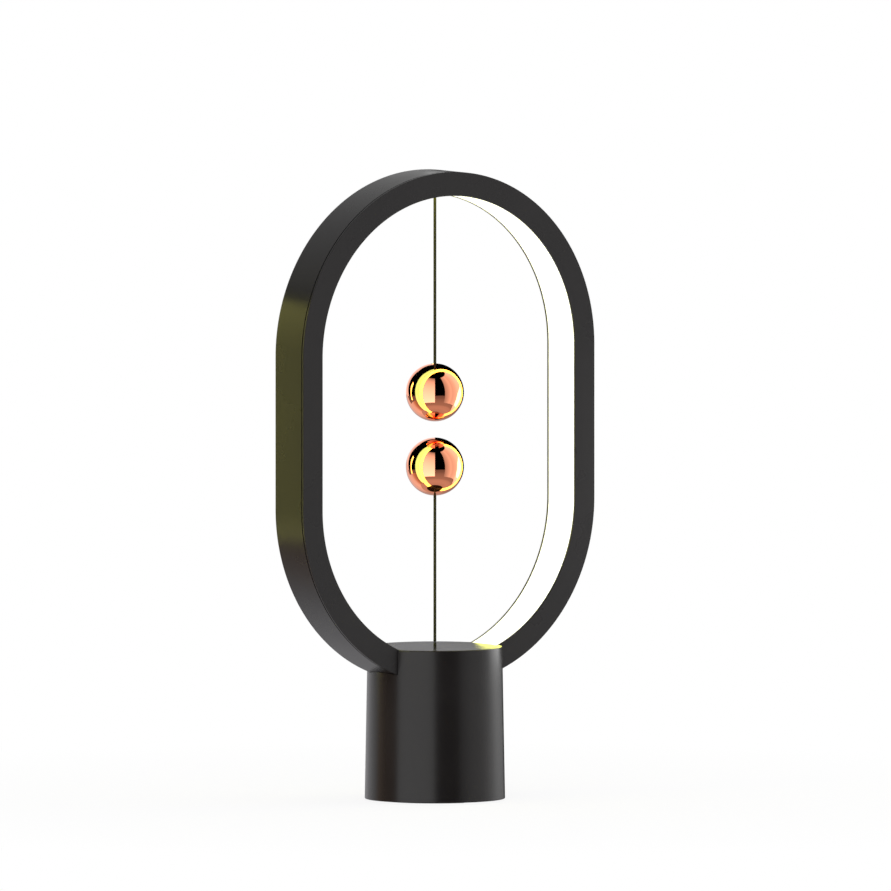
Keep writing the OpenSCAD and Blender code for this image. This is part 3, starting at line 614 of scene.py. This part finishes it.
def stretched_block(radius, stretch, along, y_low, y_high, middle_z):
    """A cutter: an oval, stretched along "x" or "z", from y_low to y_high."""
    bm = bmesh.new()
    upright = Matrix.Translation((0, y_low, middle_z)) @ Matrix.Rotation(math.pi / 2, 4, "X")
    bmesh.ops.create_circle(bm, cap_ends=True, segments=2 * ARC_STEPS, radius=radius, matrix=upright)
    for vert in bm.verts:
        if along == "z":
            vert.co.z += math.copysign(stretch / 2, vert.co.z - middle_z)
        else:
            vert.co.x += math.copysign(stretch / 2, vert.co.x)
    grown = bmesh.ops.extrude_face_region(bm, geom=list(bm.faces))["geom"]
    bmesh.ops.translate(
        bm, verts=[v for v in grown if isinstance(v, bmesh.types.BMVert)], vec=(0, y_high - y_low, 0))
    bmesh.ops.recalc_face_normals(bm, faces=bm.faces)
    mesh = bpy.data.meshes.new("cutter")
    bm.to_mesh(mesh)
    bm.free()
    cutter = bpy.data.objects.new("cutter", mesh)
    bpy.context.scene.collection.objects.link(cutter)
    return cutter


def cut_out(bm, cutters):
    """The same mesh with the cutters' room taken out of it."""
    mesh = bpy.data.meshes.new("uncut")
    bm.to_mesh(mesh)
    bm.free()
    whole = bpy.data.objects.new("uncut", mesh)
    bpy.context.scene.collection.objects.link(whole)
    for cutter in cutters:
        modifier = whole.modifiers.new("cut", "BOOLEAN")
        modifier.operation = "DIFFERENCE"
        modifier.solver = "EXACT"
        modifier.object = cutter
    bpy.context.view_layer.update()
    result = bmesh.new()
    result.from_object(whole, bpy.context.evaluated_depsgraph_get())
    for used in [whole] + cutters:
        bpy.data.objects.remove(used)
    return result


def base_shell():
    bm = turned_body([
        (BASE_LOW_R, BASE_LOW_Z), (BASE_TOP_R, BASE_TOP_Z), (BASE_TOP_R - BASE_WALL, BASE_TOP_Z),
        (BASE_LOW_R - BASE_WALL, BASE_LOW_Z)], BASE_STEPS)
    bmesh.ops.recalc_face_normals(bm, faces=bm.faces)
    round_edges(bm, turned_edges(bm, BASE_TOP_R, BASE_TOP_Z), BASE_TOP_ROUND, 4)
    round_edges(bm, turned_edges(bm, BASE_LOW_R, BASE_LOW_Z), BASE_LOW_ROUND, 3)
    round_edges(bm, turned_edges(bm, BASE_TOP_R - BASE_WALL, BASE_TOP_Z), BASE_INNER_ROUND, 2)
    ring_room = stretched_block(
        RING_R + SLIP, ARC_TOP_Z - ARC_LOW_Z, "z", -RING_HALF_DEPTH - SLIP, RING_HALF_DEPTH + SLIP,
        (ARC_LOW_Z + ARC_TOP_Z) / 2)
    inlet_room = stretched_block(
        INLET_H / 2, INLET_W - INLET_H, "x", BASE_LOW_R - INLET_DEPTH, BASE_LOW_R + CUT_PAST_WALL, INLET_Z)
    bm = cut_out(bm, [ring_room, inlet_room])
    piece = new_piece("base_shell", bm, "base_housing", "lamp_body")
    keep_faces_flat(piece)
    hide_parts("base_housing")


base_shell()


# ---- Balls ----

def mirror_ball(name, middle_z, cord_side, cord_half, magnet_half, body):
    """One polished ball with a small funnel for its cord. cord_side is 1 for up and -1 for down."""
    mouth_angle = math.acos(MOUTH_R / BALL_R)
    profile = []
    for i in range(BALL_ARC_STEPS + 1):
        angle = -math.pi / 2 + (mouth_angle + math.pi / 2) * i / BALL_ARC_STEPS
        profile.append((BALL_R * math.cos(angle) if i else 0.0, BALL_R * math.sin(angle)))
    hole_z = BALL_R - CORD_HOLE_DEPTH
    profile += [(CORD_HOLE_R, BALL_R - MOUTH_DEPTH), (CORD_HOLE_R, hole_z), (0.0, hole_z)]
    bm = turned_body(profile, BALL_STEPS, closed=False)
    bmesh.ops.scale(bm, verts=bm.verts, vec=(1, 1, cord_side))
    bmesh.ops.translate(bm, verts=bm.verts, vec=(0, 0, middle_z))
    piece = new_piece(name, bm, cord_half, body)
    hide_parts(cord_half, magnet_half)
    return piece


upper_ball_shell = mirror_ball(
    "upper_ball_shell", UPPER_BALL_Z, 1, "upper_ball_cord_half", "upper_ball_magnet_half", "upper_ball")
lower_ball_shell = mirror_ball(
    "lower_ball_shell", LOWER_BALL_Z, -1, "lower_ball_cord_half", "lower_ball_magnet_half", "lower_ball")


# ---- Floor, world and lights ----

FLOOR_R = 6.0
FLOOR_Z = -0.00002
FLOOR_STEPS = 96
SHADOW_START = 0.04
LIGHT_AIM_Z = 0.12
ROUND_CARD_STEPS = 48
STANDING_CARD_PARTS = 6
ARCHED_CARD_PARTS = 4


def seen_directly(tree):
    """1 for what the camera, a mirror or glass looks at, 0 for the light that falls on things."""
    path = add(tree, "ShaderNodeLightPath")
    first = calculate(tree, "MAXIMUM", path.outputs["Is Camera Ray"], path.outputs["Is Glossy Ray"])
    return calculate(tree, "MAXIMUM", first, path.outputs["Is Transmission Ray"])


def white_world(level):
    world = bpy.data.worlds.new("studio_world")
    world.use_nodes = True
    tree = world.node_tree
    tree.nodes.clear()
    strength = spread(tree, seen_directly(tree), 0.0, 1.0, level, 1.0)
    light = add(tree, "ShaderNodeBackground", {"Color": (1, 1, 1, 1), "Strength": strength})
    add(tree, "ShaderNodeOutputWorld", {"Surface": light.outputs[0]})
    bpy.context.scene.world = world


def pale_floor(shadow_share, shadow_reach):
    bm = bmesh.new()
    bmesh.ops.create_circle(
        bm, cap_ends=True, segments=FLOOR_STEPS, radius=FLOOR_R,
        matrix=Matrix.Translation((0, 0, FLOOR_Z)))
    mesh = bpy.data.meshes.new("floor")
    bm.to_mesh(mesh)
    bm.free()
    floor = bpy.data.objects.new("floor", mesh)
    bpy.context.scene.collection.objects.link(floor)
    floor.visible_glossy = False
    material = bpy.data.materials.new("pale_floor")
    material.use_nodes = True
    tree = material.node_tree
    tree.nodes.clear()
    matt = add(tree, "ShaderNodeBsdfDiffuse", {"Color": (0.9, 0.9, 0.9, 1)})
    white = add(tree, "ShaderNodeEmission", {"Color": (1, 1, 1, 1), "Strength": 1.0})
    below = add(tree, "ShaderNodeNewGeometry").outputs["Backfacing"]
    place = add(tree, "ShaderNodeTexCoord").outputs["Object"]
    away = add(tree, "ShaderNodeVectorMath", {0: place}, operation="LENGTH").outputs["Value"]
    plain = spread(tree, away, SHADOW_START, shadow_reach, 1.0 - shadow_share, 1.0)
    share = calculate(tree, "MAXIMUM", below, plain)
    mix = add(tree, "ShaderNodeMixShader", {
        0: calculate(tree, "MULTIPLY", seen_directly(tree), share), 1: matt.outputs[0], 2: white.outputs[0]})
    add(tree, "ShaderNodeOutputMaterial", {"Surface": mix.outputs[0]})
    mesh.materials.append(material)


def hang_card(name, bm, colour, receivers=()):
    """A studio card for reflections only: it neither shows nor lights anything, and its outer side is
    clear. Where it has receivers, only they see it, and everything else sees through it."""
    mesh = bpy.data.meshes.new(name)
    bm.to_mesh(mesh)
    bm.free()
    material = bpy.data.materials.new(name)
    material.use_nodes = True
    tree = material.node_tree
    tree.nodes.clear()
    strength = add(tree, "ShaderNodeAttribute", attribute_name="strength").outputs["Fac"]
    glow = add(tree, "ShaderNodeEmission", {"Color": (*colour, 1), "Strength": strength})
    clear = add(tree, "ShaderNodeBsdfTransparent")
    inside = glow
    if receivers:
        inside = add(tree, "ShaderNodeAddShader", {0: glow.outputs[0], 1: clear.outputs[0]})
    outside = add(tree, "ShaderNodeNewGeometry").outputs["Backfacing"]
    mix = add(tree, "ShaderNodeMixShader", {0: outside, 1: inside.outputs[0], 2: clear.outputs[0]})
    add(tree, "ShaderNodeOutputMaterial", {"Surface": mix.outputs[0]})
    mesh.materials.append(material)
    card = bpy.data.objects.new(name, mesh)
    bpy.context.scene.collection.objects.link(card)
    card.visible_camera = False
    card.visible_diffuse = False
    card.visible_shadow = False
    card.visible_transmission = False
    card.visible_volume_scatter = False
    if receivers:
        seen_by = bpy.data.collections.new(name + "_seen_by")
        for piece in receivers:
            seen_by.objects.link(piece)
        card.light_linking.receiver_collection = seen_by


def join_columns(columns, place):
    """A strip of faces through columns, with a strength at every corner. place turns a column into its
    two ends."""
    bm = bmesh.new()
    layer = bm.verts.layers.float.new("strength")
    before = None
    for column in columns:
        ends = []
        for where, strength in zip(place(column), column[-2:]):
            vert = bm.verts.new(where)
            vert[layer] = strength
            ends.append(vert)
        if before:
            bm.faces.new((before[0], before[1], ends[1], ends[0]))
        before = ends
    return bm


def between(columns, parts):
    """The same columns with even steps put in between."""
    full = []
    for first, second in zip(columns, columns[1:]):
        for i in range(parts):
            full.append([a + (b - a) * i / parts for a, b in zip(first, second)])
    return full + [list(columns[-1])]


def standing_card(name, distance, columns, colour=(1, 1, 1)):
    """A curved upright card round the lamp's axis. Its columns go from left to right, each one with degrees
    to the right of the camera, low z, high z, and the strength at its low and high end."""
    toward = Vector((camera_back.x, camera_back.y, 0)).normalized()

    def place(column):
        turn = math.radians(column[0])
        foot = (toward * math.cos(turn) + camera_right * math.sin(turn)) * distance
        return [(foot.x, foot.y, z) for z in column[1:3]]

    hang_card(name, join_columns(between(columns, STANDING_CARD_PARTS), place), colour)


def flat_card(name, z, rings, colour=(1, 1, 1)):
    """A round card above or below the lamp. Its rings go outward, each one with a radius and a strength."""
    bm = bmesh.new()
    layer = bm.verts.layers.float.new("strength")
    corners = []
    for radius, strength in rings:
        vert = bm.verts.new((radius, 0, z))
        vert[layer] = strength
        corners.append(vert)
    edges = [bm.edges.new(pair) for pair in zip(corners, corners[1:])]
    bmesh.ops.spin(
        bm, geom=corners + edges, cent=(0, 0, 0), axis=(0, 0, 1), angle=FULL_TURN,
        steps=ROUND_CARD_STEPS, use_merge=True, use_duplicate=False)
    bmesh.ops.remove_doubles(bm, verts=bm.verts, dist=CARD_MERGE_DISTANCE)
    bm.normal_update()
    wrong = [face for face in bm.faces if face.normal.z * z > 0]
    bmesh.ops.reverse_faces(bm, faces=wrong)
    hang_card(name, bm, colour)


def soft_light(name, place, size, power):
    data = bpy.data.lights.new(name, "AREA")
    data.shape = "SQUARE"
    data.size = size
    data.energy = power
    light = bpy.data.objects.new(name, data)
    bpy.context.scene.collection.objects.link(light)
    light.location = place
    aim = Vector((0, 0, LIGHT_AIM_Z)) - Vector(place)
    light.rotation_euler = aim.to_track_quat("-Z", "Y").to_euler()
    light.visible_glossy = False
    light.visible_camera = False


WARM = (1.0, 0.95, 0.27)
PINK = (1.0, 0.89, 0.86)
NEUTRAL = (0.94, 0.93, 0.96)
BROWN = (1.0, 0.68, 0.50)

white_world(0.6)
pale_floor(0.12, 0.30)
soft_light("key_light", (-0.9, -0.9, 1.1), 0.8, 6.0)
soft_light("fill_light", (0.9, -0.6, 0.8), 0.8, 4.0)

# Studio round the lamp, for reflections only: two softboxes on a grey floor in a dark room, which is open
# behind on the left
STUDIO_LOW_Z = -0.36
STUDIO_TOP_Z = 2.3
STUDIO_R = 3.4
SOFTBOX_R = 0.7
SOFTBOX_SPLIT_Z = 0.14
SOFTBOX_TOP_Z = 1.4
STRIP_R = 1.5
LEFT_LOW_R = 0.25
LEFT_LOW_Z = -0.2
LEFT_LOW_TOP_Z = 0.045
RIGHT_GLOW_R = 0.16
RIGHT_GLOW_Z = 0.046
RIGHT_GLOW_LIGHT = 4.2
standing_card("left_softbox", SOFTBOX_R, [
    (-64, STUDIO_LOW_Z, SOFTBOX_SPLIT_Z, 2.35, 2.0), (0, STUDIO_LOW_Z, SOFTBOX_SPLIT_Z, 2.4, 1.8)])
standing_card("left_softbox_top", SOFTBOX_R, [
    (-64, SOFTBOX_SPLIT_Z, SOFTBOX_TOP_Z, 2.0, 0.4), (0, SOFTBOX_SPLIT_Z, SOFTBOX_TOP_Z, 1.8, 0.3)])
standing_card("right_softbox", SOFTBOX_R, [
    (turn, STUDIO_LOW_Z, SOFTBOX_TOP_Z, low, high) for turn, low, high in (
        (41, 0.45, 0.7), (54, 0.75, 0.85), (67, 1.05, 1.1), (76, 0.92, 0.95), (90, 1.1, 1.15),
        (102, 1.35, 1.45), (127, 1.6, 1.7))])
standing_card("dark_wall", STUDIO_R, [
    (-149, 2.2, STUDIO_TOP_Z, 0, 0), (-142, 1.0, STUDIO_TOP_Z, 0, 0), (-130, -0.1, STUDIO_TOP_Z, 0, 0),
    (-128, STUDIO_LOW_Z, STUDIO_TOP_Z, 0, 0), (180, STUDIO_LOW_Z, STUDIO_TOP_Z, 0, 0)])
flat_card("dark_ceiling", STUDIO_TOP_Z, [(0, 0), (STUDIO_R, 0)])
flat_card("grey_floor", STUDIO_LOW_Z, [
    (0, 0.45), (0.3, 0.6), (0.42, 0.55), (0.5, 0.4), (1.5, 0.22), (STUDIO_R, 0.15)], PINK)
standing_card("left_strip", STRIP_R, [
    (-112, STUDIO_LOW_Z, 0.05, 6.9, 4.4), (-107, STUDIO_LOW_Z, 0.05, 6.9, 4.4)], WARM)
standing_card("left_strip_top", STRIP_R, [
    (-116, 0.45, 0.74, 5.0, 5.4), (-112, 0.05, 0.74, 4.4, 5.4), (-107, 0.05, 0.7, 4.4, 5.4)], WARM)
standing_card("left_floor", LEFT_LOW_R, [
    (turn, LEFT_LOW_Z, high_z, low, high) for turn, high_z, low, high in (
        (-190, 0.13, 0.52, 0.52), (-166, 0.13, 0.52, 0.52), (-152, 0.13, 0.85, 0.85), (-136, 0.12, 0.95, 0.9),
        (-128, LEFT_LOW_TOP_Z, 1.1, 1.0), (-112, LEFT_LOW_TOP_Z, 1.0, 0.9),
        (-106, LEFT_LOW_TOP_Z, 0.8, 0.7))], NEUTRAL)
standing_card("left_low_wall", LEFT_LOW_R, [
    (turn, LEFT_LOW_Z, LEFT_LOW_TOP_Z, low, high) for turn, low, high in (
        (-106, 0.9, 0.8), (-98, 0.7, 0.6), (-88, 0.4, 0.4), (-76, 0.45, 0.45), (-64, 0.5, 0.5))], BROWN)
standing_card("right_glow", RIGHT_GLOW_R, [
    (turn, low_z, high_z, RIGHT_GLOW_LIGHT, RIGHT_GLOW_LIGHT) for turn, low_z, high_z in (
        (97, 0.075, 0.125), (100, 0.055, 0.145), (105, RIGHT_GLOW_Z, 0.157), (112, RIGHT_GLOW_Z, 0.17),
        (124, RIGHT_GLOW_Z, 0.182), (134, RIGHT_GLOW_Z, 0.188))])
standing_card("right_low_glow", RIGHT_GLOW_R, [
    (turn, low_z, RIGHT_GLOW_Z, low, high) for turn, low_z, low, high in (
        (98, 0.02, 1.4, 1.8), (112, -0.02, 1.5, 2.0), (120, -0.02, 1.3, 1.7), (134, -0.02, 0.7, 0.8),
        (150, -0.02, 0.3, 0.3))])


def arched_card(name, middle_z, columns, colour=(1, 1, 1), receivers=()):
    """A card that follows the ring's curve on its left side and widens toward the back. Its columns go up
    from the bottom, each one with degrees above middle_z, radius and y of both ends, and the strength at
    both ends."""
    def place(column):
        turn = math.radians(column[0])
        ends = [(column[1], column[2]), (column[3], column[4])]
        return [(-radius * math.cos(turn), y, middle_z + radius * math.sin(turn)) for radius, y in ends]

    hang_card(name, join_columns(between(columns, ARCHED_CARD_PARTS), place), colour, receivers)


# Only the balls see this one. Its colour is the one that copper turns to the ring's yellow
CRESCENT_LIGHT = 2.6
CRESCENT_COLOUR = (0.40, 1.0, 0.38)
CRESCENT_NEAR_END = (0.075, 0.0075)
arched_card("left_crescent", (UPPER_BALL_Z + LOWER_BALL_Z) / 2, [
    (turn, *CRESCENT_NEAR_END, *far_end, CRESCENT_LIGHT, CRESCENT_LIGHT) for turn, *far_end in (
        (-58, 0.089, 0.018), (-40, 0.128, 0.048), (-27, 0.161, 0.073), (-15, 0.21, 0.109), (10, 0.322, 0.193),
        (32, 0.273, 0.156), (52, 0.179, 0.086), (75, 0.106, 0.031), (95, 0.084, 0.0145))],
    CRESCENT_COLOUR, (upper_ball_shell, lower_ball_shell))

# This one is for the ring's outer side in the photo's view. The balls are on its clear side
ARC_FAR_END = (0.19, 0.128)
ARC_NEAR_END = (0.0695, 0.028)
arched_card("arc_card", ARC_TOP_Z, [
    (turn, *ARC_FAR_END, *ARC_NEAR_END, strength, strength)
    for turn, strength in ((22, 0.1), (29.5, 0.45), (50, 0.65), (80, 0.65), (105, 0.65))])
